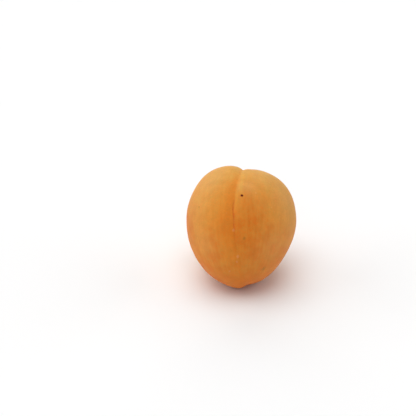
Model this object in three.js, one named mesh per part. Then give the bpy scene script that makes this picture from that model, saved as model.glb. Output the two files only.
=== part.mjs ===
// An apricot, whole and ripe, resting on the slightly flattened spot that it lies on.
//
// The fruit grew as one piece, so it is one closed solid. Its surface is a rounded body, drawn in to a
// blunt tip, with the features of the real fruit worked into it: the suture that runs from the stem end to
// the tip, the hollow at the stem end with the scar where the stalk broke off, the low lip beside the
// suture's end, and the fuller and flatter places that a grown thing has.
//
// The fruit's own directions: "side" is across the suture, "stem" is along the core towards the stem end,
// and "front" is towards the middle of the suture. All lengths are millimetres, and +Z is up.
import * as THREE from "three";
import { mergeVertices } from "three/addons/utils/BufferGeometryUtils.js";

const { clamp, degToRad, lerp, radToDeg, smoothstep } = THREE.MathUtils;
const { abs, acos, atan2, cos, exp, hypot, max, min, PI, sin, tanh } = Math;

// Body, measured from its middle, which is the level where the fruit is widest.
const SIDE_RADIUS = 22.4; // half of the width across the two cheeks
const FRONT_RADIUS = 23.0; // to the suture
const BACK_RADIUS = 23.4;
const STEM_HEIGHT = 22.5; // to the level of the shoulders at the stem end
const TIP_HEIGHT = 27.2;
const STEM_FULLNESS = 2.13; // exponent of the outline: 2 is an ellipse and more is squarer
const TIP_FULLNESS = 1.89; // less draws in straighter, towards a point
const HALF_BLEND = 2.5; // how quickly the stem half turns into the tip half
const STEM_SHIFT = -1.2; // how far the stem end stands to the side of the middle
const TIP_SHIFT = -1.2; // how far the tip stands to the side
const TIP_LEAN = 2.5; // how far the tip stands to the front

// Fuller and flatter places: degrees from the stem end, degrees round from the front, and how much they add.
const UNEVEN_PLACES = [
  { polar: 58, around: 84, height: 0.4 },
  { polar: 27, around: -55, height: 0.3 },
  { polar: 98, around: -90, height: 0.15 },
  { polar: 58, around: -86, height: -0.2 },
  { polar: 122, around: 89, height: -0.3 },
  { polar: 155, around: 96, height: 0.2 },
];
const UNEVEN_SPREAD = 0.34; // radians

// Suture: a crease with one cheek a little higher than the other. Places along it are in degrees round the
// fruit: -90 is the stem end, 0 is the middle of the front and 90 is the tip.
const SUTURE_LINE = { middle: -3.65, stemSwing: 6.1, tipSwing: 6.9, tipPower: 2.3 }; // side of the core
const HOLLOW_STEERING = 0.35; // sine of the angle from the stem end, inside which it runs to the core
const SUTURE_SPAN = { from: -104, to: 125, fade: 26 };
const CREASE_DEPTH = { stem: 1.3, middle: 0.35, low: 0.08, tip: 0.53 };
const CREASE_WIDTH = { left: 1.6, right: 0.9, moreAtStem: 0.8, moreAtTip: 0.9 };
const CREASE_ROUNDING = { sharp: 0.25, soft: 1.0 };
const SOFT_STRETCH = { from: 5, softening: 25, to: 60, sharpening: 20 }; // above 0, where it is soft
const SCAR_CLEARANCE = { radius: 1.4, length: 3.2 }; // from the core, where the crease starts
const CHEEK_STEP = { stem: 0.68, tip: 0.55 };
const CHEEK_STEP_WIDTH = 2.2;
const CHEEK_STEP_REACH = { stem: 12, tip: 4 };
// The crease and the step grow from the middle to this far up, by these powers.
const STEM_STRETCH = { length: 70, creasePower: 3, stepPower: 2 };
const LOW_STRETCH = { from: -10, length: 50 }; // it fades over this stretch below the middle
const TIP_STRETCH = { from: 70, length: 22 }; // and shows again near the tip

// Stem end and tip.
const HOLLOW_DEPTH = 4.2;
const HOLLOW_RADIUS = 4.6;
const HOLLOW_POWER = { bottom: 2.2, rim: 1.6 }; // how round its bottom and its rim are
const SCAR = { radius: 1.9, depth: 0.5, power: 4 };
const LIP_HEIGHT = 0.37;
const LIP_RADIUS = 3.6;
const LIP_SIDE = -0.9;

// Rest: the fruit lies back on its heel, the fuller underside behind the tip, which has pressed flat.
const CORE_TILT = degToRad(36); // from the vertical, with the stem end towards +Y
const HEEL_HEIGHT = 1.7;
const HEEL_SPREAD = 0.55; // radians
const HEEL_ANGLE = degToRad(25); // behind the point straight below the middle
const FLAT_DEPTH = 0.75; // how much of the heel is pressed in

// Facets: closer together along the suture, down the back where the heel is, and at both ends.
const MERIDIANS = 72;
const PARALLELS = 48;
const FRONT_AND_BACK_CROWDING = 0.45;
const END_CROWDING = 0.3;

const SKIN_COLOUR = 0xd2822f;

/** 0 up to `from` and 1 past `from + length`, with a smooth rise between. */
const rise = (x, from, length) => smoothstep(x, from, from + length);

/** A smooth hill, 1 where `distance` is 0 and falling away over `reach`. */
const hill = (distance, reach) => exp(-((distance / reach) ** 2));

/** The body's radius at the angle `polar` from the stem end and `around` from the front. */
function bodyRadius(polar, around) {
  const across = sin(polar);
  const along = cos(polar);
  const stemShare = 0.5 * (1 + tanh(HALF_BLEND * along));
  const fullness = lerp(TIP_FULLNESS, STEM_FULLNESS, stemShare);
  const height = lerp(TIP_HEIGHT, STEM_HEIGHT, stemShare);
  const depth = lerp(BACK_RADIUS, FRONT_RADIUS, 0.5 * (1 + cos(around)));
  const girth = 1 / hypot(sin(around) / SIDE_RADIUS, cos(around) / depth);
  return ((across / girth) ** fullness + (abs(along) / height) ** fullness) ** (-1 / fullness);
}

/** How far to the side of the core the suture runs: it swings over towards both ends. */
function sutureLine(across, along) {
  const low = SUTURE_LINE.tipSwing * max(-along, 0) ** SUTURE_LINE.tipPower;
  const high = SUTURE_LINE.stemSwing * max(along, 0) ** 2;
  const steering = along > 0 ? rise(across, 0, HOLLOW_STEERING) : 1;
  return (SUTURE_LINE.middle + high) * steering + low;
}

/**
 * How much the suture's crease and the step between the cheeks take off at a point `side` mm to the side and
 * `fromCore` mm from the core.
 */
function sutureDepth(side, fromCore, polar, around) {
  const across = sin(polar);
  const along = cos(polar);
  const place = radToDeg(atan2(-along, across * cos(around)));
  const present =
    rise(place, SUTURE_SPAN.from, SUTURE_SPAN.fade) * rise(-place, -SUTURE_SPAN.to, SUTURE_SPAN.fade);
  const nearStem = rise(-place, 0, STEM_STRETCH.length);
  const nearTip = rise(place, TIP_STRETCH.from, TIP_STRETCH.length);
  const off = side - sutureLine(across, along);
  const depth =
    CREASE_DEPTH.middle +
    (CREASE_DEPTH.stem - CREASE_DEPTH.middle) * nearStem ** STEM_STRETCH.creasePower +
    (CREASE_DEPTH.low - CREASE_DEPTH.middle) * rise(place, LOW_STRETCH.from, LOW_STRETCH.length) +
    (CREASE_DEPTH.tip - CREASE_DEPTH.low) * nearTip;
  const flank = off < 0 ? CREASE_WIDTH.left : CREASE_WIDTH.right;
  const width = flank * (1 + CREASE_WIDTH.moreAtStem * nearStem + CREASE_WIDTH.moreAtTip * nearTip);
  const softness =
    rise(-place, SOFT_STRETCH.from, SOFT_STRETCH.softening) *
    (1 - rise(-place, SOFT_STRETCH.to, SOFT_STRETCH.sharpening));
  const rounding = lerp(CREASE_ROUNDING.sharp, CREASE_ROUNDING.soft, softness);
  const crease = depth * exp(-(hypot(off, rounding) - rounding) / width);
  const step =
    tanh(off / CHEEK_STEP_WIDTH) *
    (CHEEK_STEP.stem * nearStem ** STEM_STRETCH.stepPower * hill(off, CHEEK_STEP_REACH.stem) +
      CHEEK_STEP.tip * nearTip * hill(off, CHEEK_STEP_REACH.tip));
  const clear = along > 0 ? rise(fromCore, SCAR_CLEARANCE.radius, SCAR_CLEARANCE.length) : 1;
  return (crease + step) * present * clear;
}

/** How much the hollow at the stem end, with the stalk's scar at its bottom, takes off. */
function hollowDepth(fromCore, polar) {
  if (cos(polar) <= 0) return 0;
  const flare = (1 + (fromCore / HOLLOW_RADIUS) ** HOLLOW_POWER.bottom) ** HOLLOW_POWER.rim;
  return HOLLOW_DEPTH / flare + SCAR.depth * exp(-((fromCore / SCAR.radius) ** SCAR.power));
}

/** How much the lip adds at the tip. */
function lipHeight(side, front, polar) {
  return cos(polar) < 0 ? LIP_HEIGHT * hill(hypot(side - LIP_SIDE, front), LIP_RADIUS) : 0;
}

/** How much the fuller and flatter places add in a direction. */
function unevenHeight(direction) {
  const place = new THREE.Vector3();
  return UNEVEN_PLACES.reduce((height, spot) => {
    place.setFromSphericalCoords(1, degToRad(spot.polar), degToRad(spot.around));
    return height + spot.height * hill(direction.angleTo(place), UNEVEN_SPREAD);
  }, 0);
}

/** How much the heel adds in a direction, given by its side, stem and front parts. */
function heelHeight(direction) {
  const heel = new THREE.Vector3(0, -cos(CORE_TILT + HEEL_ANGLE), -sin(CORE_TILT + HEEL_ANGLE));
  return HEEL_HEIGHT * hill(direction.angleTo(heel), HEEL_SPREAD);
}

/** The point of the skin at two angles, with X to the side, Y to the stem and Z to the front. */
function skinPoint(polar, around) {
  const point = new THREE.Vector3().setFromSphericalCoords(1, polar, around);
  const body = bodyRadius(polar, around);
  const side = body * point.x;
  const fromCore = body * sin(polar);
  const front = body * point.z;
  const radius =
    body -
    sutureDepth(side, fromCore, polar, around) -
    hollowDepth(fromCore, polar) +
    lipHeight(side, front, polar) +
    unevenHeight(point) +
    heelHeight(point);
  const stemward = max(cos(polar), 0) ** 2;
  const tipward = min(cos(polar), 0) ** 2;
  point.multiplyScalar(radius);
  point.x += STEM_SHIFT * stemward + TIP_SHIFT * tipward;
  point.z += TIP_LEAN * tipward;
  return point;
}

/** Presses everything lower than `level` up to it, which leaves a flat spot. */
function pressFlat(geometry, level) {
  const position = geometry.getAttribute("position");
  for (let i = 0; i < position.count; i++) {
    position.setZ(i, max(position.getZ(i), level));
  }
  geometry.computeBoundingBox();
}

/** The skin as one closed mesh, tilted as it rests, on z = 0 with the middle of its box over the origin. */
function skinGeometry() {
  const sphere = new THREE.SphereGeometry(1, MERIDIANS, PARALLELS);
  sphere.deleteAttribute("normal");
  sphere.deleteAttribute("uv");
  const geometry = mergeVertices(sphere, 1e-6);
  const position = geometry.getAttribute("position");
  const direction = new THREE.Vector3();
  for (let i = 0; i < position.count; i++) {
    direction.fromBufferAttribute(position, i);
    const evenPolar = acos(clamp(direction.y, -1, 1));
    const evenAround = atan2(direction.x, direction.z);
    const polar = evenPolar - (END_CROWDING * sin(2 * evenPolar)) / 2;
    const around = evenAround - (FRONT_AND_BACK_CROWDING * sin(2 * evenAround)) / 2;
    position.setXYZ(i, ...skinPoint(polar, around));
  }
  geometry.rotateX(PI / 2 - CORE_TILT);
  geometry.computeBoundingBox();
  const floor = geometry.boundingBox.min.z + FLAT_DEPTH;
  pressFlat(geometry, floor);
  const middle = geometry.boundingBox.getCenter(new THREE.Vector3());
  geometry.translate(-middle.x, -middle.y, -floor);
  geometry.computeVertexNormals();
  return geometry;
}

const skin = new THREE.MeshStandardMaterial({ color: SKIN_COLOUR, roughness: 0.75, metalness: 0 });
const apricot = new THREE.Mesh(skinGeometry(), skin);
apricot.name = "apricot";

const fruit = new THREE.Group();
fruit.add(apricot);

export default fruit;
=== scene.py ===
import bpy
import numpy as np
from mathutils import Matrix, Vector


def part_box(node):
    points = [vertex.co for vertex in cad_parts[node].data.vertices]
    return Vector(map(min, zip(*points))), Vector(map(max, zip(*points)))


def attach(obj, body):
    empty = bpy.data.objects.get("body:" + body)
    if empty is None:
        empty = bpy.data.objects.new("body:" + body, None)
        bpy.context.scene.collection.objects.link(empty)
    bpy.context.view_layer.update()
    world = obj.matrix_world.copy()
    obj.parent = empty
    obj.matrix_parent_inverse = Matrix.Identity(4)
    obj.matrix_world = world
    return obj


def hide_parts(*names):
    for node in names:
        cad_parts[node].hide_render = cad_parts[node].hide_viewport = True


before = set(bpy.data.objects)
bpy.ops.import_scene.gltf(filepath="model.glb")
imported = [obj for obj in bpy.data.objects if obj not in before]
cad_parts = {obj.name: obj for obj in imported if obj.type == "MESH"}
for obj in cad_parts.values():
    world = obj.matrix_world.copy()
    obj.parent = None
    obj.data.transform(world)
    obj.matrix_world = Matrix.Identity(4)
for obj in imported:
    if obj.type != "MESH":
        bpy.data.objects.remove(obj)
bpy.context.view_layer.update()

MM = 0.001  # metres

# The body, measured from its middle.
SIDE_RADIUS = 22.4
FRONT_RADIUS = 23.0
BACK_RADIUS = 23.4
STEM_HEIGHT = 22.5
TIP_HEIGHT = 27.2
STEM_FULLNESS = 2.13  # exponent of the outline: 2 is an ellipse and more is squarer
TIP_FULLNESS = 1.89
HALF_BLEND = 2.5  # how quickly the stem half turns into the tip half
STEM_SHIFT = -1.2  # to the side
TIP_SHIFT = -1.2
TIP_LEAN = 2.5  # to the front

# Fuller and flatter places: degrees from the stem end, degrees round from the front, height in mm.
UNEVEN_PLACES = (
    (58, 84, 0.4),
    (27, -55, 0.3),
    (98, -90, 0.15),
    (58, -86, -0.2),
    (122, 89, -0.3),
    (155, 96, 0.2),
)
UNEVEN_SPREAD = 0.34  # radians

# The suture. Places along it are in degrees round the fruit: -90 is the stem end, 0 the middle, 90 the tip.
# A change along it is a pair: the place where it starts and the length that it takes, going down to the tip.
# In a pair that is named _UP, the place is counted from the middle up to the stem end instead.
SUTURE_LINE = {"middle": -3.65, "stem_swing": 6.1, "tip_swing": 6.9, "tip_power": 2.3}
HOLLOW_STEERING = 0.35  # sine of the angle from the stem end, inside which the suture runs to the core
SUTURE_SPAN = (-104, 125)
SUTURE_FADE = 26
SCAR_CLEARANCE = (1.4, 3.2)  # mm from the core where the crease starts, and over which it deepens

# The crease deepens up to the stem end, fades down below the middle and shows again at the tip.
DEEPENS_UP = (0, 70)
DEEPENING_POWER = 3
FADES = (-10, 50)
TIP_SHOWS = (70, 22)
CREASE_DEPTH = {"stem": 1.3, "middle": 0.35, "low": 0.08, "tip": 0.53}
CREASE_WIDTH = {"left": 1.6, "right": 0.9, "more_at_stem": 0.8, "more_at_tip": 0.9}
CREASE_ROUNDING = {"sharp": 0.25, "soft": 1.0}
SOFTENS_UP = (5, 25)
SHARPENS_UP = (60, 20)

# One cheek stands higher than the other at the two ends.
CHEEK_STEP = {"stem": 0.68, "tip": 0.55}
CHEEK_STEP_WIDTH = 2.2
CHEEK_STEP_REACH = {"stem": 12, "tip": 4}
CHEEK_STEP_POWER = 2

# The fine seam at the bottom of the crease. It starts above the middle and fades with the crease, and it is
# deeper at the stem end.
SEAM_DEPTH = 0.055
SEAM_WIDTH = 0.3
SEAM_STARTS = (-26, 20)
SEAM_DEEPENS_UP = (62, 14)
SEAM_DEEPER = 3
SEAM_WANDER = 0.16
SEAM_WAVES = ((7.0, 1.0, 0.0), (2.6, 0.6, 1.0))  # degrees of place in a radian of wave, share, phase

BANK_HEIGHT = 0.12  # the low ridge beside the crease, on its right
BANK_SIDE = 1.7
BANK_WIDTH = 1.1
VALLEY_DEPTH = 0.25  # the broad soft dip on the left of the crease
VALLEY_SIDE = -2.6
VALLEY_WIDTH = 2.6

# The hollow at the stem end, with the dent of the scar at its bottom, and the low lip at the tip.
HOLLOW_DEPTH = 4.2
HOLLOW_RADIUS = 4.6
HOLLOW_POWER = {"bottom": 2.2, "rim": 1.6}
SCAR_DENT = {"radius": 1.9, "depth": 0.5, "power": 4}
LIP_HEIGHT = 0.37
LIP_RADIUS = 3.6
LIP_SIDE = -0.9

# How it lies: the core leans back from the vertical, and the fruit rests on a flat in its fuller heel.
CORE_TILT = np.radians(36)
HEEL_HEIGHT = 1.7
HEEL_SPREAD = 0.55  # radians
HEEL_ANGLE = np.radians(25)  # from straight down, towards the back
FLAT_DEPTH = 0.75
FLAT_ROUNDING = 0.06

# Unevenness of the skin: (length of a swell, height), each in mm.
SWELLS = ((16.0, 0.11), (6.5, 0.035), (2.2, 0.012), (1.1, 0.006))
SWELL_LENGTHS = (0.75, 1.4)  # how much the waves in a swell differ in length

GRID = 127  # squares along one side of each of the six patches of the skin
CROWDING = 0.72  # spacing of the squares at the suture's level, against the even spacing

# Marks on the skin: (degrees from the stem end, degrees round from the front, radius in mm, stretch along
# the core). Scabs are dry brown specks, bruises are dull soft spots, flecks are pale and corky, and
# scratches have healed to a reddish brown.
SCABS = (
    (70.4, -0.2, 0.55, 1.0),
    (175.0, 150.0, 0.45, 1.0),
    (96.0, 152.0, 0.42, 1.0),
    (58.0, -118.0, 0.34, 1.2),
    (74.0, 96.0, 0.3, 1.4),
    (118.0, -161.0, 0.36, 1.0),
    (66.0, 133.0, 0.28, 1.0),
    (83.0, -141.0, 0.26, 1.4),
)
BRUISES = (
    (113.3, 2.1, 0.65, 1.0),
    (145.4, 41.1, 0.9, 1.3),
    (80.2, -49.9, 0.4, 1.0),
    (52.0, 171.0, 1.3, 1.0),
    (101.0, -124.0, 0.8, 1.8),
    (88.0, 118.0, 0.6, 1.0),
)
FLECKS = (
    (105.1, -9.3, 0.5, 1.2),
    (132.2, -4.6, 0.45, 1.6),
    (137.5, -5.1, 0.45, 1.0),
    (148.6, -18.5, 0.4, 1.0),
    (71.0, 170.0, 0.5, 2.0),
    (109.0, -98.0, 0.4, 1.4),
)
SCRATCHES = (
    (70.0, 112.0, 0.42, 3.2),
    (79.0, 114.5, 0.5, 1.6),
    (64.0, -152.0, 0.4, 2.6),
)
# Patches of deeper (above 0) or paler skin: (degrees from the stem end, degrees round from the front,
# amount, spread in radians).
TONE_PATCHES = (
    (104, 16, 0.45, 0.28),
    (106, -6, 0.25, 0.4),
    (116, 54, 0.25, 0.3),
    (95, -78, 0.35, 0.3),
    (100, -14, 0.2, 0.25),
    (84, -44, -0.32, 0.3),
    (80, 6, 0.3, 0.2),
    (84, -64, 0.3, 0.25),
    (146, 8, -0.1, 0.3),
    (44, -14, -0.35, 0.22),
    (46, 40, -0.3, 0.28),
    (92, 148, 0.5, 0.45),
    (74, -136, 0.45, 0.4),
    (105, -165, -0.3, 0.3),
    (60, 168, -0.2, 0.3),
    (96, 92, 0.35, 0.3),
    (100, -88, 0.4, 0.3),
)
# Where the down is thicker, given in the same way.
DOWN_PATCHES = (
    (50, -42, 1.0, 0.32),
    (60, 6, 0.9, 0.16),
    (50, 24, 0.4, 0.2),
    (72, 48, 0.5, 0.32),
    (110, -50, 0.3, 0.3),
    (115, 44, 0.4, 0.35),
    (78, -50, 0.45, 0.3),
    (78, 16, 0.15, 0.25),
    (122, -42, 0.3, 0.25),
    (126, 36, 0.25, 0.3),
    (44, 42, 0.4, 0.25),
    (60, 120, 0.5, 0.35),
    (100, -120, 0.6, 0.35),
    (130, 160, 0.5, 0.4),
)
BLUSH_AT = (78, 158)  # the side that the sun reached
BLUSH_SPREAD = 0.75

# What else makes the orange deeper or paler: a streak along the low part of the suture, the bank beside the
# crease, the height along the core, and painted shade near the tip, which lies lowest.
STREAK_AMOUNT = 0.12
STREAK_WIDTHS = (0.8, 2.2)
STREAK_WIDENS = (0, 50)
STREAK_STARTS = (5, 30)
STREAK_ENDS = (80, 25)
PALE_BANK_AMOUNT = 0.25
PALE_BANK_SIDE = 1.9
PALE_BANK_WIDTH = 1.2
PALE_BANK_STARTS = (-70, 35)
PALE_BANK_ENDS = (-30, 45)
PALER_AT_STEM = 0.6
TIP_SHADE = 0.3
TIP_SHADE_POWER = 4

# The band of painted sheen round the sides, yellower and duller, as parts of the skin's direction: each pair
# is where a change starts and its length.
RIM_SHEEN_FRONT = 0.42  # where they are strongest
RIM_SHEEN_WIDTH = 0.36
RIM_SHEEN_AT_TIP = 0.35
RIM_SHEEN_STEMWARD = (-0.6, 0.8)
RIM_SHEEN_LEFT_LOSS = 0.6
RIM_SHEEN_LEFTWARD = (0.3, 0.5)
PALE_BACK_AMOUNT = 0.5
PALE_BACK_RISE = (0.1, 0.5)

# The wedge along the crease that is painted deeper orange: painted shade of the crease, with less sheen
# there, and thinner down.
WEDGE_SIDE = -0.6
WEDGE_LEFT = (0.8, 4.6)  # its reach to the left, at its top and lower down
WEDGE_RIGHT = 0.8
WEDGE_WIDENS = (-55, 50)
WEDGE_STARTS = (-68, 40)
WEDGE_WEAKENS = (10, 40)
WEDGE_WEAKER = 0.6
WEDGE_ENDS = (80, 25)

# The dark line in the seam, painted shade along its groove, a little wider than the groove.
LINE_WIDTH = 1.05 * SEAM_WIDTH
LINE_STARTS = (-20, 14)
LINE_WEAKENS = (5, 18)
LINE_WEAKER = 0.8
LINE_ENDS = (33, 30)
LINE_AGAIN_UP = (60, 12)
LINE_AT_STEM = 0.9

# How the marks stand up from the skin: height in mm, and the share of their radius that the slope takes.
SCAB_HEIGHT = 0.05
SCAB_SLOPE = 0.4
FLECK_HEIGHT = 0.03
FLECK_SLOPE = 0.6

PRESSED_HEIGHT = 0.9  # how far above the floor the skin is dulled
FAR_OFF = 99.0  # mm, beyond all that the hollow's colours reach

# The scar of the stalk: a woody disc in the bottom of the hollow. Shares are of its radius.
SCAR_RADIUS = 2.3
SCAR_THICKNESS = 0.45
SCAR_LIFT = 0.12
SCAR_OUTLINE = ((2, 0.05, 0.6), (3, 0.035, 2.0), (5, 0.02, 1.0), (9, 0.012, 0.3))  # waves round, size, phase
SCAR_RIM = {"at": 0.84, "width": 0.12, "height": 0.15}
SCAR_PITH = {"width": 0.17, "depth": 0.1}
SCAR_LUMPS = ((1.1, 0.05), (0.4, 0.025))  # length and height in mm
SCAR_SEED = 20
RELIEF_POWER = 8  # how suddenly the relief ends at the edge, and the lift
LIFT_POWER = 6
UNDERSIDE_SHARE = 0.96  # the underside's radius as a share of the top's
VEINS = (  # where the ends of the sap veins stand up: angle in radians, share
    (0.2, 0.5),
    (0.95, 0.44),
    (1.5, 0.55),
    (2.35, 0.48),
    (2.9, 0.56),
    (3.7, 0.45),
    (4.3, 0.53),
    (5.0, 0.46),
    (5.65, 0.54),
)
VEIN_WIDTH = 0.085
VEIN_HEIGHT = 0.1
SCAR_CRACKS = ((0.6, 0.45), (2.6, 0.3), (3.3, 0.62), (5.3, 0.4))  # angle, and share it starts at
CRACK_WIDTH = 0.03
CRACK_DEPTH = 0.1
CRACK_OPENING = 0.2  # the share over which it opens
CRACK_SWING = 0.3  # radians
CRACK_WAVES = 5  # radians of the swing's wave along the whole radius
SCAR_RINGS = 48  # points from the middle to the edge
SCAR_SPOKES = 160


# ---------------------------------------------------------------------------------------------- shape


def rise(x, start, length):
    """0 up to start and 1 past start + length, with a smooth rise between: 3 t squared less 2 t cubed."""
    t = np.clip((x - start) / length, 0, 1)
    return t * t * (3 - 2 * t)


def hill(distance, reach):
    """A smooth hill, 1 where the distance is 0: e to the minus (distance / reach) squared."""
    return np.exp(-((distance / reach) ** 2))


def between(low, high, share):
    """The value that lies a share of the way from low to high."""
    return low + (high - low) * share


def along_stretch(place, starts, ends):
    """1 along a stretch of the suture and 0 off it. Starts and ends are each a place and a length."""
    return rise(place, *starts) * (1 - rise(place, *ends))


def unevenness(points, length, seed, waves=28):
    """A smooth random field of about -1 to 1: plane waves of about one length, summed, in all directions."""
    random = np.random.default_rng(seed)
    directions = random.normal(size=(waves, 3))
    directions /= np.linalg.norm(directions, axis=1, keepdims=True)
    lengths = length * random.uniform(*SWELL_LENGTHS, waves)
    phases = random.uniform(0, 2 * np.pi, waves)
    turns = points @ (2 * np.pi * directions / lengths[:, None]).T
    return np.cos(turns + phases).sum(1) * np.sqrt(0.5 / waves)


def ball_grid(squares):
    """Directions all round and the quads between them, with no pole.

    Six square grids, one for each side of a cube, are blown up to a ball with even angles between their
    lines, and joined where they meet. The lines are then drawn closer to the plane where side is 0.
    """
    line = np.tan(np.linspace(-1, 1, squares + 1) * np.pi / 4)
    a, b = np.meshgrid(line, line, indexing="ij")
    sides = []
    for axis in range(3):
        for sign in (1, -1):
            side = np.empty(a.shape + (3,))
            side[..., axis] = sign
            side[..., (axis + 1) % 3] = a if sign > 0 else b
            side[..., (axis + 2) % 3] = b if sign > 0 else a
            sides.append(side.reshape(-1, 3))
    points = np.concatenate(sides)
    points /= np.linalg.norm(points, axis=1, keepdims=True)
    _, first, index = np.unique(np.round(points, 6), axis=0, return_index=True, return_inverse=True)
    points = points[first]
    index = index.reshape(6, squares + 1, squares + 1)
    quads = np.stack([index[:, :-1, :-1], index[:, 1:, :-1], index[:, 1:, 1:], index[:, :-1, 1:]], -1)
    points[:, 0] *= between(CROWDING, 1, points[:, 0] ** 2)
    return points / np.linalg.norm(points, axis=1, keepdims=True), quads.reshape(-1, 4)


def angles(directions):
    """The angles from the stem end and round from the front, of directions as (side, stem, front)."""
    side, stem, front = directions.T
    return np.arccos(np.clip(stem, -1, 1)), np.arctan2(side, front)


def body_radius(polar, around):
    """A superellipse along the core, on an oval girth. Its height and fullness differ at its two ends, with
    a tanh between them."""
    across, along = np.sin(polar), np.cos(polar)
    stem_share = 0.5 * (1 + np.tanh(HALF_BLEND * along))
    fullness = between(TIP_FULLNESS, STEM_FULLNESS, stem_share)
    height = between(TIP_HEIGHT, STEM_HEIGHT, stem_share)
    depth = between(BACK_RADIUS, FRONT_RADIUS, 0.5 * (1 + np.cos(around)))
    girth = 1 / np.hypot(np.sin(around) / SIDE_RADIUS, np.cos(around) / depth)
    return ((across / girth) ** fullness + (np.abs(along) / height) ** fullness) ** (-1 / fullness)


def suture_place(polar, around):
    """Where a point is from the suture: degrees along it, and mm to the side of it.

    The suture stands to the side of the core by one distance halfway along, less a swing that grows with the
    square of the height towards the stem end and with a power of it towards the tip. In the hollow it is
    drawn in to the core.
    """
    across, along = np.sin(polar), np.cos(polar)
    place = np.degrees(np.arctan2(-along, across * np.cos(around)))
    high = SUTURE_LINE["stem_swing"] * np.clip(along, 0, 1) ** 2
    low = SUTURE_LINE["tip_swing"] * np.clip(-along, 0, 1) ** SUTURE_LINE["tip_power"]
    steering = np.where(along > 0, rise(across, 0, HOLLOW_STEERING), 1)
    line = (SUTURE_LINE["middle"] + high) * steering + low
    return place, body_radius(polar, around) * across * np.sin(around) - line


def off_seam(place, off):
    """How far a point is from the fine seam in the crease, which wanders in two short waves."""
    wander = sum(share * np.sin(place / length + phase) for length, share, phase in SEAM_WAVES)
    return off - SEAM_WANDER * wander


def suture_depth(place, off):
    """A crease with rounded flanks of two widths, a fine seam along its bottom, a low bank on its right, a
    soft valley on its left, and a step between the cheeks. The crease falls off as e to the minus distance
    over width, the step is a tanh, and the others are hills."""
    present = rise(place, SUTURE_SPAN[0], SUTURE_FADE) * rise(-place, -SUTURE_SPAN[1], SUTURE_FADE)
    near_stem = rise(-place, *DEEPENS_UP)
    near_tip = rise(place, *TIP_SHOWS)
    fading = rise(place, *FADES)
    depth = (
        CREASE_DEPTH["middle"]
        + (CREASE_DEPTH["stem"] - CREASE_DEPTH["middle"]) * near_stem**DEEPENING_POWER
        + (CREASE_DEPTH["low"] - CREASE_DEPTH["middle"]) * fading
        + (CREASE_DEPTH["tip"] - CREASE_DEPTH["low"]) * near_tip
    )
    width = np.where(off < 0, CREASE_WIDTH["left"], CREASE_WIDTH["right"])
    width = width * (1 + CREASE_WIDTH["more_at_stem"] * near_stem + CREASE_WIDTH["more_at_tip"] * near_tip)
    softness = along_stretch(-place, SOFTENS_UP, SHARPENS_UP)
    rounding = between(CREASE_ROUNDING["sharp"], CREASE_ROUNDING["soft"], softness)
    crease = depth * np.exp(-(np.hypot(off, rounding) - rounding) / width)
    step = np.tanh(off / CHEEK_STEP_WIDTH) * (
        CHEEK_STEP["stem"] * near_stem**CHEEK_STEP_POWER * hill(off, CHEEK_STEP_REACH["stem"])
        + CHEEK_STEP["tip"] * near_tip * hill(off, CHEEK_STEP_REACH["tip"])
    )
    seam = rise(place, *SEAM_STARTS) * (1 - fading) + SEAM_DEEPER * rise(-place, *SEAM_DEEPENS_UP)
    seam = SEAM_DEPTH * seam * hill(off_seam(place, off), SEAM_WIDTH)
    valley = VALLEY_DEPTH * hill(off - VALLEY_SIDE, VALLEY_WIDTH) * near_stem * (1 - near_stem)
    bank = BANK_HEIGHT * hill(off - BANK_SIDE, BANK_WIDTH) * (1 - fading)
    return (crease + step + seam + valley - bank) * present


def hollow_depth(from_core, polar):
    """A funnel with a rounded bottom and rim: its depth over a power of 1 plus a power of the distance from
    the core. The dent of the stalk's scar is e to the minus a power of that distance."""
    flare = (1 + (from_core / HOLLOW_RADIUS) ** HOLLOW_POWER["bottom"]) ** HOLLOW_POWER["rim"]
    dent = SCAR_DENT["depth"] * np.exp(-((from_core / SCAR_DENT["radius"]) ** SCAR_DENT["power"]))
    return np.where(np.cos(polar) > 0, HOLLOW_DEPTH / flare + dent, 0)


def direction_of(polar, around):
    """The direction (side, stem, front) at two angles in degrees."""
    polar, around = np.radians(polar), np.radians(around)
    return np.array([np.sin(polar) * np.sin(around), np.cos(polar), np.sin(polar) * np.cos(around)])


def fruit_points(directions, uneven=1.0):
    """The skin's points as (side, stem, front): the body's radius, less the suture and the hollow, with the
    lip, the heel, the fuller places and the swells added. The two ends are then shifted, by the square of
    the direction's part along the core."""
    polar, around = angles(directions)
    body = body_radius(polar, around)
    side, _, front = (body[:, None] * directions).T
    stemward = np.clip(directions[:, 1], 0, 1) ** 2
    tipward = np.clip(-directions[:, 1], 0, 1) ** 2
    heel = np.array([0, -np.cos(CORE_TILT + HEEL_ANGLE), -np.sin(CORE_TILT + HEEL_ANGLE)])
    from_heel = np.arccos(np.clip(directions @ heel, -1, 1))
    from_core = body * np.sin(polar)
    clear = np.where(directions[:, 1] > 0, rise(from_core, *SCAR_CLEARANCE), 1)
    radius = (
        body
        - suture_depth(*suture_place(polar, around)) * clear
        - hollow_depth(from_core, polar)
        + LIP_HEIGHT * hill(np.hypot(side - LIP_SIDE, front), LIP_RADIUS) * (tipward > 0)
        + HEEL_HEIGHT * hill(from_heel, HEEL_SPREAD)
    )
    for place_polar, place_around, height in UNEVEN_PLACES:
        away = np.arccos(np.clip(directions @ direction_of(place_polar, place_around), -1, 1))
        radius = radius + height * hill(away, UNEVEN_SPREAD)
    for seed, (length, height) in enumerate(SWELLS):
        radius = radius + uneven * height * unevenness(body[:, None] * directions, length, seed)
    points = directions * radius[:, None]
    points[:, 0] += STEM_SHIFT * stemward + TIP_SHIFT * tipward
    points[:, 2] += TIP_LEAN * tipward
    return points


def as_it_rests(points):
    """Points of (side, stem, front) turned to X, Y and Z, with the core tilted back from the vertical."""
    side, stem, front = points.T
    return np.stack(
        [
            side,
            stem * np.sin(CORE_TILT) - front * np.cos(CORE_TILT),
            stem * np.cos(CORE_TILT) + front * np.sin(CORE_TILT),
        ],
        1,
    )


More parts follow.
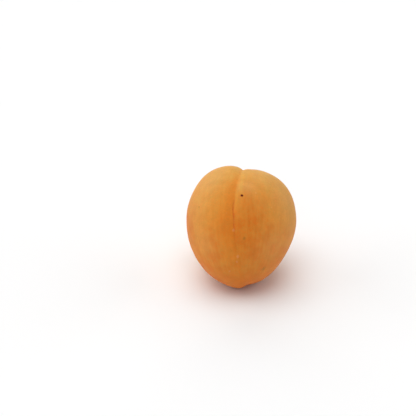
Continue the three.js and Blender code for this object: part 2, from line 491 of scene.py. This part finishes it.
def mark_field(directions, points, marks):
    """For each point, how far it is inside the nearest mark: 1 less the distance over the mark's radius.
    That is 1 at a mark's middle, 0 at its edge, and no less than -1 far off."""
    field = np.full(len(directions), -1.0)
    for polar, around, radius, stretch in marks:
        middle = direction_of(polar, around)
        nearest = points[np.argmax(directions @ middle)]
        away = points - nearest
        along = np.cross(np.cross(middle, (0, 1, 0)), middle)
        along /= np.linalg.norm(along)
        lengthwise = away @ along
        distance = np.sqrt((away**2).sum(1) + lengthwise**2 * (1 / stretch**2 - 1))
        field = np.maximum(field, 1 - distance / radius)
    return field


# ----------------------------------------------------------------------------------------------- mesh


def add_mesh(name, points, faces, fields, materials):
    """A smooth mesh object at the origin, with points in mm and a named number for each point in fields."""
    mesh = bpy.data.meshes.new(name)
    mesh.from_pydata(points * MM, [], faces)
    for field, values in fields.items():
        mesh.attributes.new(field, "FLOAT", "POINT").data.foreach_set("value", values.astype(np.float32))
    mesh.shade_smooth()
    for material in materials:
        mesh.materials.append(material)
    piece = bpy.data.objects.new(name, mesh)
    bpy.context.scene.collection.objects.link(piece)
    return piece


def rest_place():
    """How far the tilted fruit moves to stand on the floor, over the middle of the CAD node's box."""
    directions, _ = ball_grid(GRID)
    points = as_it_rests(fruit_points(directions, uneven=0))
    floor = points[:, 2].min() + FLAT_DEPTH
    low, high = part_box("apricot")
    middle = (points.min(0) + points.max(0)) / 2
    return np.array([(low.x + high.x) / 2 / MM - middle[0], (low.y + high.y) / 2 / MM - middle[1], -floor])


def press_flat(points):
    """Presses what is under the floor up to it, with a soft turn at the edge: the natural logarithm of 1
    plus e to the height, where the height is counted in FLAT_ROUNDING."""
    points[:, 2] = FLAT_ROUNDING * np.logaddexp(points[:, 2] / FLAT_ROUNDING, 0)
    points[:, 2] -= points[:, 2].min()
    return points


def patches(directions, places):
    """The sum of the smooth hills that places gives, as TONE_PATCHES does."""
    value = np.zeros(len(directions))
    for polar, around, amount, spread in places:
        away = np.arccos(np.clip(directions @ direction_of(polar, around), -1, 1))
        value += amount * hill(away, spread)
    return value


def ripeness_and_tip_shade(directions, place, off):
    """How deep the orange is, from about -1 for pale and yellowish to 1 for deep: more towards the tip, in a
    streak along the low part of the suture and in patches, and less on the bank beside the crease. The
    extra depth close to the tip is painted shade, as the tip lies lowest."""
    stem = directions[:, 1]
    streak = hill(off, between(*STREAK_WIDTHS, rise(place, *STREAK_WIDENS)))
    streak = streak * along_stretch(place, STREAK_STARTS, STREAK_ENDS)
    bank = hill(off - PALE_BANK_SIDE, PALE_BANK_WIDTH)
    bank = bank * along_stretch(place, PALE_BANK_STARTS, PALE_BANK_ENDS)
    # painted shade: near the tip, the low end as the fruit lies, the orange deepens by a power of the
    # direction's part towards it
    height = TIP_SHADE * np.clip(-stem, 0, 1) ** TIP_SHADE_POWER - PALER_AT_STEM * stem
    return STREAK_AMOUNT * streak - PALE_BANK_AMOUNT * bank + height + patches(directions, TONE_PATCHES)


def rim_sheen_and_pale_back(directions):
    """Where the skin is painted yellower and duller. The band round the sides is painted sheen: a hill in
    the front part of the direction, stronger towards the stem end and weaker on the left. The back gets an
    even amount all over."""
    side, stem, front = directions.T
    band = hill(front - RIM_SHEEN_FRONT, RIM_SHEEN_WIDTH) * between(RIM_SHEEN_AT_TIP, 1, rise(stem, *RIM_SHEEN_STEMWARD))
    band = band * (1 - RIM_SHEEN_LEFT_LOSS * rise(-side, *RIM_SHEEN_LEFTWARD))
    return np.maximum(band, PALE_BACK_AMOUNT * rise(-front, *PALE_BACK_RISE))


def thin_down_and_crease_shade_wedge(place, off):
    """Where the crease is painted a deeper orange: painted shade, as less light and sheen reach into it, and
    thinner down. It is a wedge that widens to its left, going down. Across, the wedge is a hill with a
    wide left half and a narrow right half."""
    across = off - WEDGE_SIDE
    to_left = between(*WEDGE_LEFT, rise(place, *WEDGE_WIDENS))
    wedge = hill(np.minimum(across, 0), to_left) * hill(np.maximum(across, 0), WEDGE_RIGHT)
    weaker = 1 - WEDGE_WEAKER * rise(place, *WEDGE_WEAKENS)
    return wedge * weaker * along_stretch(place, WEDGE_STARTS, WEDGE_ENDS)


def seam_shade_line(place, off):
    """The dark line in the seam, which is painted shade in its groove: clear at the stem end and above the
    middle, faint below it. Across, it is a hill."""
    strength = along_stretch(place, LINE_STARTS, LINE_ENDS) * (1 - LINE_WEAKER * rise(place, *LINE_WEAKENS))
    strength = strength + LINE_AT_STEM * rise(-place, *LINE_AGAIN_UP)
    return strength * hill(off_seam(place, off), LINE_WIDTH)


def make_skin():
    """The whole skin, with the fields that its material reads. Scabs and flecks are raised along the skin's
    directions."""
    directions, quads = ball_grid(GRID)
    polar, around = angles(directions)
    place, off = suture_place(polar, around)
    points = fruit_points(directions)
    kinds = {"scab": SCABS, "bruise": BRUISES, "fleck": FLECKS, "scratch": SCRATCHES}
    marks = {name: mark_field(directions, points, places) for name, places in kinds.items()}
    raised = SCAB_HEIGHT * rise(marks["scab"], 0, SCAB_SLOPE)
    raised += FLECK_HEIGHT * rise(marks["fleck"], 0, FLECK_SLOPE)
    points = press_flat(as_it_rests(points + directions * raised[:, None]) + rest_place())
    from_core = body_radius(polar, around) * np.sin(polar)
    from_blush = np.arccos(np.clip(directions @ direction_of(*BLUSH_AT), -1, 1))
    on_suture = (np.cos(around) > 0) | (polar > np.pi / 2)
    fields = {
        "ripeness_and_tip_shade": ripeness_and_tip_shade(directions, place, off),
        "rim_sheen_and_pale_back": rim_sheen_and_pale_back(directions),
        "down": patches(directions, DOWN_PATCHES),
        "thin_down_and_crease_shade": thin_down_and_crease_shade_wedge(place, off),
        "seam": np.where(on_suture, seam_shade_line(place, off), 0),
        "from_core": from_core,
        "from_stem": np.where(polar < np.pi / 2, from_core, FAR_OFF),
        "blush": hill(from_blush, BLUSH_SPREAD),
        "pressed": 1 - rise(points[:, 2], 0, PRESSED_HEIGHT),
        **marks,
    }
    return add_mesh("skin", points, quads, fields, [skin_material(fields)])


def crack_line(share, turn, angle, start):
    """1 along a crack that opens at the share start, runs out to the edge and swings as a sine: a hill in
    the turn, which narrows outwards so that the crack keeps its width."""
    swing = CRACK_SWING * np.sin(CRACK_WAVES * share + angle)
    off = np.angle(np.exp(1j * (turn - angle - swing)))
    return hill(off, CRACK_WIDTH / share) * rise(share, start, CRACK_OPENING)


def on_hollow(radius, turn, lift):
    """Points that stand lift above the hollow's surface, at about a radius from the core and a turn round
    it: the radius over the fruit's height there is the sine of the angle from the stem end."""
    across = np.clip(radius / STEM_HEIGHT, 0, 1)
    around = turn + 0 * radius
    directions = np.stack([across * np.sin(around), np.cos(np.arcsin(across)), across * np.cos(around)], -1)
    points = fruit_points(directions.reshape(-1, 3), uneven=0)
    points[:, 1] += (lift + 0 * around).ravel()
    return points


def disc_faces(rings, spokes):
    """The faces of a closed disc: a fan and rings of quads on the top, the same turned over underneath, and
    a band round the edge. Each side's points are its centre and then its rings, from the inmost out."""
    ring = np.arange(spokes)
    after = np.roll(ring, -1)
    steps = spokes * np.arange(rings - 1)[:, None]
    first_top, first_under = 1, 2 + rings * spokes
    faces = []
    for first, turned_over in ((first_top, False), (first_under, True)):
        a, b = first + steps + ring, first + steps + after
        quads = np.stack([a, a + spokes, b + spokes, b], -1).reshape(-1, 4)
        fan = np.stack([np.full(spokes, first - 1), first + ring, first + after], -1)
        for part in (quads, fan):
            faces += (part[:, ::-1] if turned_over else part).tolist()
    last = spokes * (rings - 1)
    edge = np.stack([first_top + last + ring, first_under + last + ring], -1)
    return faces + np.concatenate([edge, np.roll(edge, -1, 0)[:, ::-1]], 1).tolist()


def make_scar():
    """The scar as a closed disc that follows the hollow's bottom: a rim, a ring of vein ends, a sunken pith,
    lumps and a few cracks, on an outline that waves in and out. Its underside is sunk in the flesh."""
    share = np.linspace(0, 1, SCAR_RINGS + 1)[1:, None]
    turn = np.linspace(0, 2 * np.pi, SCAR_SPOKES, endpoint=False)[None, :]
    across, along = share * np.cos(turn), share * np.sin(turn)
    outline = 1 + sum(size * np.cos(waves * turn + phase) for waves, size, phase in SCAR_OUTLINE)
    radius = SCAR_RADIUS * share * outline
    flat = np.stack([radius * np.cos(turn), radius * np.sin(turn), 0 * radius], -1).reshape(-1, 3)
    lumps = sum(
        size * unevenness(flat, length, seed) for seed, (length, size) in enumerate(SCAR_LUMPS, SCAR_SEED)
    )
    vein = sum(
        hill(np.hypot(across - at * np.cos(angle), along - at * np.sin(angle)), VEIN_WIDTH)
        for angle, at in VEINS
    )
    crack = np.minimum(sum(crack_line(share, turn, angle, start) for angle, start in SCAR_CRACKS), 1)
    relief = (
        SCAR_RIM["height"] * hill(share - SCAR_RIM["at"], SCAR_RIM["width"])
        - SCAR_PITH["depth"] * hill(share, SCAR_PITH["width"])
        + VEIN_HEIGHT * vein
        + lumps.reshape(share.size, turn.size)
        - CRACK_DEPTH * crack
    )
    height = relief * (1 - share**RELIEF_POWER) + SCAR_LIFT * (1 - share**LIFT_POWER)

    top = on_hollow(radius, turn, height)
    under = on_hollow(radius * UNDERSIDE_SHARE, turn, 0 * height - SCAR_THICKNESS)
    centre = on_hollow(np.zeros((1, 1)), np.zeros((1, 1)), 0)
    points = np.concatenate([centre + (0, height[0].mean(), 0), top, centre - (0, SCAR_THICKNESS, 0), under])
    fields = {"share": share + 0 * turn, "crack": crack, "vein": np.minimum(vein, 1)}
    fields = {name: np.tile([0.0, *values.ravel()], 2) for name, values in fields.items()}
    faces = disc_faces(SCAR_RINGS, SCAR_SPOKES)
    return add_mesh("stalk_scar", as_it_rests(points) + rest_place(), faces, fields, [scar_material(fields)])


# ------------------------------------------------------------------------------------------ materials


def colour(hex_code):
    """An sRGB hex colour as linear red, green, blue and full alpha."""
    value = np.array([int(hex_code[i : i + 2], 16) for i in (1, 3, 5)]) / 255
    linear = np.where(value <= 0.04045, value / 12.92, ((value + 0.055) / 1.055) ** 2.4)
    return (*linear, 1.0)


def add(tree, kind, sockets=None, out=0, **settings):
    """Adds a node with its settings and gives back one of its outputs, by name or number. Each of its
    inputs, by name or number, gets a value or another node's output."""
    node = tree.nodes.new("ShaderNode" + kind)
    for name, value in settings.items():
        setattr(node, name, value)
    for key, value in (sockets or {}).items():
        if isinstance(value, bpy.types.NodeSocket):
            tree.links.new(value, node.inputs[key])
        else:
            node.inputs[key].default_value = value
    return node.outputs[out] if node.outputs else None


# The sockets of a Map Range node, which turns a number that goes from LOW to HIGH into one that goes from
# TO_LOW to TO_HIGH, and of a Mix node that mixes colours.
VALUE, LOW, HIGH, TO_LOW, TO_HIGH = range(5)
SMOOTH = {"interpolation_type": "SMOOTHSTEP"}
UNDER, OVER, MIXED = 6, 7, 2


def new_material(name):
    """A material with an empty tree of nodes, and the tree."""
    material = bpy.data.materials.new(name)
    material.use_nodes = True
    material.node_tree.nodes.clear()
    return material, material.node_tree


def coat(tree, under, code, cover, strength=1.0):
    """The colour under with a coat of another colour over it, as thick as cover times strength."""
    thickness = add(tree, "Math", {0: cover, 1: strength}, operation="MULTIPLY")
    sockets = {"Factor": thickness, UNDER: under, OVER: colour(code)}
    return add(tree, "Mix", sockets, out=MIXED, data_type="RGBA")


def graded_coats(tree, under, coats):
    """Coats of colour, each over the last. A coat is a colour, the number that says where it lies, the
    values of that number at which it begins and is full, and its strength. In between it grows smoothly, by
    3 t squared less 2 t cubed."""
    for code, number, begins, full, strength in coats:
        cover = add(tree, "MapRange", {VALUE: number, LOW: begins, HIGH: full}, **SMOOTH)
        under = coat(tree, under, code, cover, strength)
    return under


# The noises in the skin: (size in mm, detail, distortion). Apricot down is about 0.3 mm long and as fine as
# a hair, so its grain is drawn coarser, or it wouldn't show.
SKIN_NOISES = {
    "blotches": (9.0, 2.0, 0.3),
    "mottling": (3.2, 3.0, 0.0),
    "specks": (0.7, 2.0, 0.0),
    "blush": (6.0, 3.0, 0.3),
    "pores": (4.0, 2.0, 0.0),
    "seam": (1.6, 3.0, 0.0),
    "hollow": (1.2, 4.0, 0.0),
    "pressed": (2.5, 3.0, 0.0),
    "ragged": (0.6, 3.0, 0.0),
    "nap": (3.0, 3.0, 0.0),
    "down": (0.35, 2.0, 0.0),
    "tufts": (1.3, 2.0, 0.0),
}
NOISE_MIDDLE = 0.5
STREAK_SIZE = 1.2  # mm across
STREAK_STRETCH = 7  # how much longer the streaks are than they are wide
STREAK_DETAIL = 3.0
STREAK_STRENGTH = {LOW: 5.0, HIGH: 17.0, TO_LOW: 0.1, TO_HIGH: 1.25}  # against mm from the core
BLOTCH_STRENGTH = 0.8
MOTTLE_STRENGTH = 1.25
SPECK_STRENGTH = 1.2

# Colours from yellowish to ripe: (colour, ripeness at which it begins and is full, strength).
YELLOWISH = "#e39f40"
RIPE_COATS = (
    ("#e38f32", -1.0, 0.0, 1.0),
    ("#dd751c", 0.0, 1.0, 1.0),
    ("#d0641a", 0.9, 1.8, 0.6),
)
# Where the skin differs: (field, colour, strength).
SKIN_COATS = (
    # painted sheen: a paler, yellower band round the sides, and an even amount on the back
    ("rim_sheen_and_pale_back", "#cc9b4c", 0.5),
    ("down", "#dcb070", 0.34),
    # painted shade of the crease, where less light and sheen reach, with thinner down
    ("thin_down_and_crease_shade", "#e08226", 0.7),
)
# The sunny side, and the dots: reddish freckles on that side, and lenticels, which are pale and corky. The
# spacing is in mm, and a dot's edge and its full part are shares of it.
BLUSH = {"colour": "#cc5a22", "patchy": {LOW: 0.25, HIGH: 0.72}, "strength": 0.7}
FRECKLES = {"colour": "#9c3a20", "spacing": 1.9, "edge": 0.26, "full": 0.1, "strength": 0.6}
FRECKLED = {LOW: 0.3, HIGH: 0.8}
PORES = {"colour": "#f0c078", "spacing": 2.6, "edge": 0.17, "full": 0.05, "strength": 0.3}
PORED = {LOW: 0.48, HIGH: 0.66}
# The seam's dark line is painted shade in its groove.
SEAM_SHADE_COAT = {"colour": "#c6501a", "broken": {LOW: 0.3, HIGH: 0.62, TO_LOW: 0.25}, "strength": 0.65}
# The hollow: (colour, mm from the core at which it begins and is full, strength), and how its rings waver.
HOLLOW_SHADE_AND_RINGS = (
    # painted shade: the deeper orange inside the hollow; the olive and russet rings round the scar are the
    # skin's own
    ("#bd7b24", 9.5, 3.5, 0.6),
    ("#b08a3c", 5.5, 2.8, 0.5),
    ("#ad7a3c", 4.4, 2.5, 0.6),
    ("#84582a", 3.2, 2.3, 0.9),
)
HOLLOW_WAVER = {LOW: 0.3, HIGH: 0.7, TO_LOW: -0.45, TO_HIGH: 0.45}
PRESSED_COLOUR = "#bd7a36"
PRESSED_PATCHY = {LOW: 0.3, HIGH: 0.7, TO_LOW: 0.15, TO_HIGH: 0.6}
# Marks: (field, colour, raggedness, the values of the field at which it begins and is full, strength). A
# scab's own colour lies over the stain round it.
MARK_COATS = (
    ("bruise", "#a06a2c", 1.0, -0.5, 0.8, 0.5),
    ("fleck", "#eab480", 1.0, -0.6, 0.8, 0.28),
    ("scratch", "#9a4a22", 1.0, -0.3, 0.7, 0.75),
    ("scab", "#b4521e", 0.5, -0.55, 0.15, 0.55),
)
MARK_RAGGED = {LOW: 0.25, HIGH: 0.75, TO_LOW: -0.3, TO_HIGH: 0.3}
SCAB_COLOUR = "#5e1406"
SCAB_FULL = 0.35
# How much the down, standing or brushed, lightens the skin: (noise, change, least).
NAP = (("specks", 0.26, 0.87), ("nap", 0.2, 0.9))
TUFT_SHARE = 0.8
DOWN_RELIEF = {"Strength": 0.7, "Distance": 0.08 * MM}
SKIN_ROUGHNESS = {TO_LOW: 0.58, TO_HIGH: 0.8}  # of the skin, and of a scab


def core_streaks(tree, place):
    """A noise drawn out along the core. Its coordinates are the direction from the core times the fruit's
    radius, plus the place along the core over the stretch."""
    sockets = {"Vector": place, "Rotation": (-CORE_TILT, 0, 0), "Location": tuple(rest_place() * MM)}
    upright = add(tree, "Mapping", sockets, vector_type="TEXTURE")
    around = add(tree, "VectorMath", {0: upright, 1: (1, 1, 0)}, operation="MULTIPLY")
    around = add(tree, "VectorMath", {0: around}, operation="NORMALIZE")
    around = add(tree, "VectorMath", {0: around, 1: (SIDE_RADIUS * MM,) * 3}, operation="MULTIPLY")
    along = add(tree, "VectorMath", {0: upright, 1: (0, 0, 1 / STREAK_STRETCH)}, operation="MULTIPLY")
    drawn_out = add(tree, "VectorMath", {0: around, 1: along}, operation="ADD")
    sockets = {"Vector": drawn_out, "Scale": 1 / (STREAK_SIZE * MM), "Detail": STREAK_DETAIL}
    return add(tree, "TexNoise", sockets)


def skin_colour(tree, place, field, noise):
    """The skin's colour in coats, from the ground colour up, and where the scabs are."""
    # The ripeness, unevened. The streaks would crowd together at the core, so they fade there.
    streak_strength = add(tree, "MapRange", {VALUE: field["from_core"], **STREAK_STRENGTH}, **SMOOTH)
    tone = field["ripeness_and_tip_shade"]
    for strength, grain in (
        (BLOTCH_STRENGTH, noise["blotches"]),
        (MOTTLE_STRENGTH, noise["mottling"]),
        (streak_strength, core_streaks(tree, place)),
        (SPECK_STRENGTH, noise["specks"]),
    ):
        swing = add(tree, "Math", {0: grain, 1: NOISE_MIDDLE}, operation="SUBTRACT")
        tone = add(tree, "Math", {0: swing, 1: strength, 2: tone}, operation="MULTIPLY_ADD")
    skin = graded_coats(tree, colour(YELLOWISH), [(code, tone, *grade) for code, *grade in RIPE_COATS])
    for name, code, strength in SKIN_COATS:
        skin = coat(tree, skin, code, field[name], strength)

    # The sunny side and the dots.
    patchy = add(tree, "MapRange", {VALUE: noise["blush"], **BLUSH["patchy"]}, **SMOOTH)
    blush = add(tree, "Math", {0: patchy, 1: field["blush"]}, operation="MULTIPLY")
    skin = coat(tree, skin, BLUSH["colour"], blush, BLUSH["strength"])
    freckled = add(tree, "MapRange", {VALUE: blush, **FRECKLED}, **SMOOTH)
    pored = add(tree, "MapRange", {VALUE: noise["pores"], **PORED}, **SMOOTH)
    for dots, where in ((FRECKLES, freckled), (PORES, pored)):
        distance = add(tree, "TexVoronoi", {"Vector": place, "Scale": 1 / (dots["spacing"] * MM)})
        dot = add(tree, "MapRange", {VALUE: distance, LOW: dots["edge"], HIGH: dots["full"]}, **SMOOTH)
        dot = add(tree, "Math", {0: dot, 1: where}, operation="MULTIPLY")
        skin = coat(tree, skin, dots["colour"], dot, dots["strength"])

    # The seam's painted shade, broken up along its length.
    broken = add(tree, "MapRange", {VALUE: noise["seam"], **SEAM_SHADE_COAT["broken"]}, **SMOOTH)
    seam = add(tree, "Math", {0: field["seam"], 1: broken}, operation="MULTIPLY")
    skin = coat(tree, skin, SEAM_SHADE_COAT["colour"], seam, SEAM_SHADE_COAT["strength"])

    # The hollow: deeper orange, which is painted shade inside it, olive towards the scar, with a russet ring
    # round it.
    waver = add(tree, "MapRange", {VALUE: noise["hollow"], **HOLLOW_WAVER}, **SMOOTH)
    from_stem = add(tree, "Math", {0: field["from_stem"], 1: waver}, operation="ADD")
    skin = graded_coats(tree, skin, [(code, from_stem, *grade) for code, *grade in HOLLOW_SHADE_AND_RINGS])

    # The spot that it lies on: a little dull and brown.
    patchy = add(tree, "MapRange", {VALUE: noise["pressed"], **PRESSED_PATCHY}, **SMOOTH)
    skin = coat(tree, skin, PRESSED_COLOUR, field["pressed"], patchy)

    # Marks, with ragged edges.
    ragged = add(tree, "MapRange", {VALUE: noise["ragged"], **MARK_RAGGED}, **SMOOTH)
    inside = {}
    for name, code, raggedness, *grade in MARK_COATS:
        sockets = {0: ragged, 1: raggedness, 2: field[name]}
        inside[name] = add(tree, "Math", sockets, operation="MULTIPLY_ADD")
        skin = graded_coats(tree, skin, [(code, inside[name], *grade)])
    scab = add(tree, "MapRange", {VALUE: inside["scab"], HIGH: SCAB_FULL}, **SMOOTH)
    skin = coat(tree, skin, SCAB_COLOUR, scab)

    # Light and dark specks of the down.
    for name, change, least in NAP:
        nap = add(tree, "Math", {0: noise[name], 1: change, 2: least}, operation="MULTIPLY_ADD")
        skin = add(tree, "VectorMath", {"Vector": skin, "Scale": nap}, operation="SCALE")
    return skin, scab


def skin_material(fields):
    """Ripe apricot skin: thin, dull and covered in short pale down. The down pales the edges, so it is the
    sheen and a fine relief; the flesh under the skin lets a little light through. The orange runs from
    yellowish at the stem end to deep at the tip, with fine streaks along the core and small brown and corky
    marks."""
    material, tree = new_material("apricot_skin")
    place = add(tree, "TexCoord", out="Object")
    field = {name: add(tree, "Attribute", out="Fac", attribute_name=name) for name in fields}
    noise = {}
    for name, (size, detail, distortion) in SKIN_NOISES.items():
        sockets = {"Vector": place, "Scale": 1 / (size * MM), "Detail": detail, "Distortion": distortion}
        noise[name] = add(tree, "TexNoise", sockets)
    skin, scab = skin_colour(tree, place, field, noise)
    down = add(tree, "Math", {0: noise["tufts"], 1: TUFT_SHARE, 2: noise["down"]}, operation="MULTIPLY_ADD")
    sockets = {
        "Base Color": skin,
        "Roughness": add(tree, "MapRange", {VALUE: scab, **SKIN_ROUGHNESS}, **SMOOTH),
        "IOR": 1.42,
        "Specular IOR Level": 0.06,
        "Subsurface Weight": 0.2,
        "Subsurface Radius": (1.0, 0.32, 0.1),
        "Subsurface Scale": 1.4 * MM,
        "Sheen Weight": 0.08,
        "Sheen Roughness": 0.6,
        "Sheen Tint": colour("#cfe6f2"),
        "Normal": add(tree, "Bump", {"Height": down, **DOWN_RELIEF}),
    }
    add(tree, "OutputMaterial", {"Surface": add(tree, "BsdfPrincipled", sockets)})
    return material


WOOD_NOISES = {"fibre": 0.3, "edge": 0.9}  # mm
WOOD_DETAIL = 4.0
WOOD_COLOUR = "#5c3b25"
# The paler fibres, the dark edge, the pith, the vein ends and the cracks: (the number that says where it
# lies, colour, the number's values at which it begins and is full, strength). The share is of the radius.
WOOD_COATS = (
    ("fibre", "#8d6846", 0.3, 0.7, 1.0),
    ("share", "#3d2618", 0.68, 0.98, 0.85),
    ("share", "#35221a", 0.3, 0.12, 0.7),
    ("vein", "#b8946a", 0.2, 0.9, 0.6),
    ("crack", "#24160f", 0.2, 0.9, 0.7),
)
SHARE_WAVER = 0.3
FIBRE_RELIEF = {"Strength": 0.6, "Distance": 0.06 * MM}


def scar_material(fields):
    """Dry stalk wood, torn off and weathered: matt and brown, with a dark edge, darker cracks and pith, and
    the pale ends of the sap veins."""
    material, tree = new_material("dry_stalk_wood")
    place = add(tree, "TexCoord", out="Object")
    number = {name: add(tree, "Attribute", out="Fac", attribute_name=name) for name in fields}
    for name, size in WOOD_NOISES.items():
        sockets = {"Vector": place, "Scale": 1 / (size * MM), "Detail": WOOD_DETAIL}
        number[name] = add(tree, "TexNoise", sockets)
    swing = add(tree, "Math", {0: number["edge"], 1: NOISE_MIDDLE}, operation="SUBTRACT")
    sockets = {0: swing, 1: SHARE_WAVER, 2: number["share"]}
    number["share"] = add(tree, "Math", sockets, operation="MULTIPLY_ADD")
    coats = [(code, number[name], *grade) for name, code, *grade in WOOD_COATS]
    sockets = {
        "Base Color": graded_coats(tree, colour(WOOD_COLOUR), coats),
        "Roughness": 0.86,
        "Specular IOR Level": 0.25,
        "Normal": add(tree, "Bump", {"Height": number["fibre"], **FIBRE_RELIEF}),
    }
    add(tree, "OutputMaterial", {"Surface": add(tree, "BsdfPrincipled", sockets)})
    return material


# ---------------------------------------------------------------------------------------------- stage


# Lengths are in mm, where nothing else is said.
PICTURE_SIDE = 416  # pixels
FRUIT_AT = (241.3, 220.4)  # pixels from the left and the top, where the body's middle is seen
FRUIT_WIDTH = {"mm": 45.0, "pixels": 110.3}
PIXEL = FRUIT_WIDTH["mm"] / FRUIT_WIDTH["pixels"]  # mm at the fruit
CAMERA_DISTANCE = 600.0
CAMERA_HEIGHT = np.radians(30)  # how far it looks down
SENSOR = 36.0
NEAREST_SEEN = 10.0
FLOOR_SIDE = 4000.0
FLOOR_COLOUR = "#f6f6f6"
SOFT_BOXES = (  # name, direction to it from the fruit, strength
    ("overhead", (-0.1, 0.0, 1.0), 1.46),
    ("before", (-0.1, -0.65, 0.75), 0.62),
    ("left", (-0.9, 0.1, 0.4), 1.1),
    ("right", (0.9, 0.15, 0.4), 0.86),
    ("behind", (-0.1, 0.85, 0.5), 1.18),
)
SOFT_BOX_ANGLE = np.radians(60)
ROOM_LIGHT = 0.04


def add_camera(body_middle):
    """Looks down at the fruit from the front, with the body's middle at FRUIT_AT of the picture."""
    right = np.array([1.0, 0.0, 0.0])
    up = np.array([0.0, np.sin(CAMERA_HEIGHT), np.cos(CAMERA_HEIGHT)])
    back = np.array([0.0, -np.cos(CAMERA_HEIGHT), np.sin(CAMERA_HEIGHT)])
    to_right = (PICTURE_SIDE / 2 - FRUIT_AT[0]) * PIXEL
    to_top = (FRUIT_AT[1] - PICTURE_SIDE / 2) * PIXEL
    place = body_middle + right * to_right + up * to_top + back * CAMERA_DISTANCE
    lens = bpy.data.cameras.new("camera")
    lens.sensor_width = SENSOR
    lens.lens = SENSOR * CAMERA_DISTANCE / (PICTURE_SIDE * PIXEL)
    lens.clip_start = NEAREST_SEEN * MM
    camera = bpy.data.objects.new("camera", lens)
    camera.location = Vector(place * MM)
    camera.rotation_euler = (np.pi / 2 - CAMERA_HEIGHT, 0, 0)
    bpy.context.scene.collection.objects.link(camera)
    bpy.context.scene.camera = camera


def add_floor():
    """A wide sheet of matt white card, which gives a pale ground and takes a soft shadow."""
    corners = np.array([[-1, -1, 0], [1, -1, 0], [1, 1, 0], [-1, 1, 0]]) * FLOOR_SIDE / 2
    material, tree = new_material("white_card")
    shader = add(tree, "BsdfDiffuse", {"Color": colour(FLOOR_COLOUR)})
    add(tree, "OutputMaterial", {"Surface": shader})
    floor = add_mesh("floor", corners, [(0, 1, 2, 3)], {}, [material])


def add_lights():
    """Five wide soft boxes, far off, and an even, dim white room."""
    for name, direction, energy in SOFT_BOXES:
        lamp = bpy.data.lights.new(name, "SUN")
        lamp.energy = energy
        lamp.angle = SOFT_BOX_ANGLE
        box = bpy.data.objects.new(name, lamp)
        box.rotation_euler = Vector(direction).to_track_quat("Z", "Y").to_euler()
        bpy.context.scene.collection.objects.link(box)
    world = bpy.data.worlds.new("studio")
    world.use_nodes = True
    world.node_tree.nodes["Background"].inputs["Color"].default_value = (1, 1, 1, 1)
    world.node_tree.nodes["Background"].inputs["Strength"].default_value = ROOM_LIGHT
    bpy.context.scene.world = world


bpy.context.scene.view_settings.view_transform = "Standard"
add_camera(rest_place())
add_floor()
add_lights()
skin = make_skin()
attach(skin, "root")
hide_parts("apricot")
scar = make_scar()
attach(scar, "root")
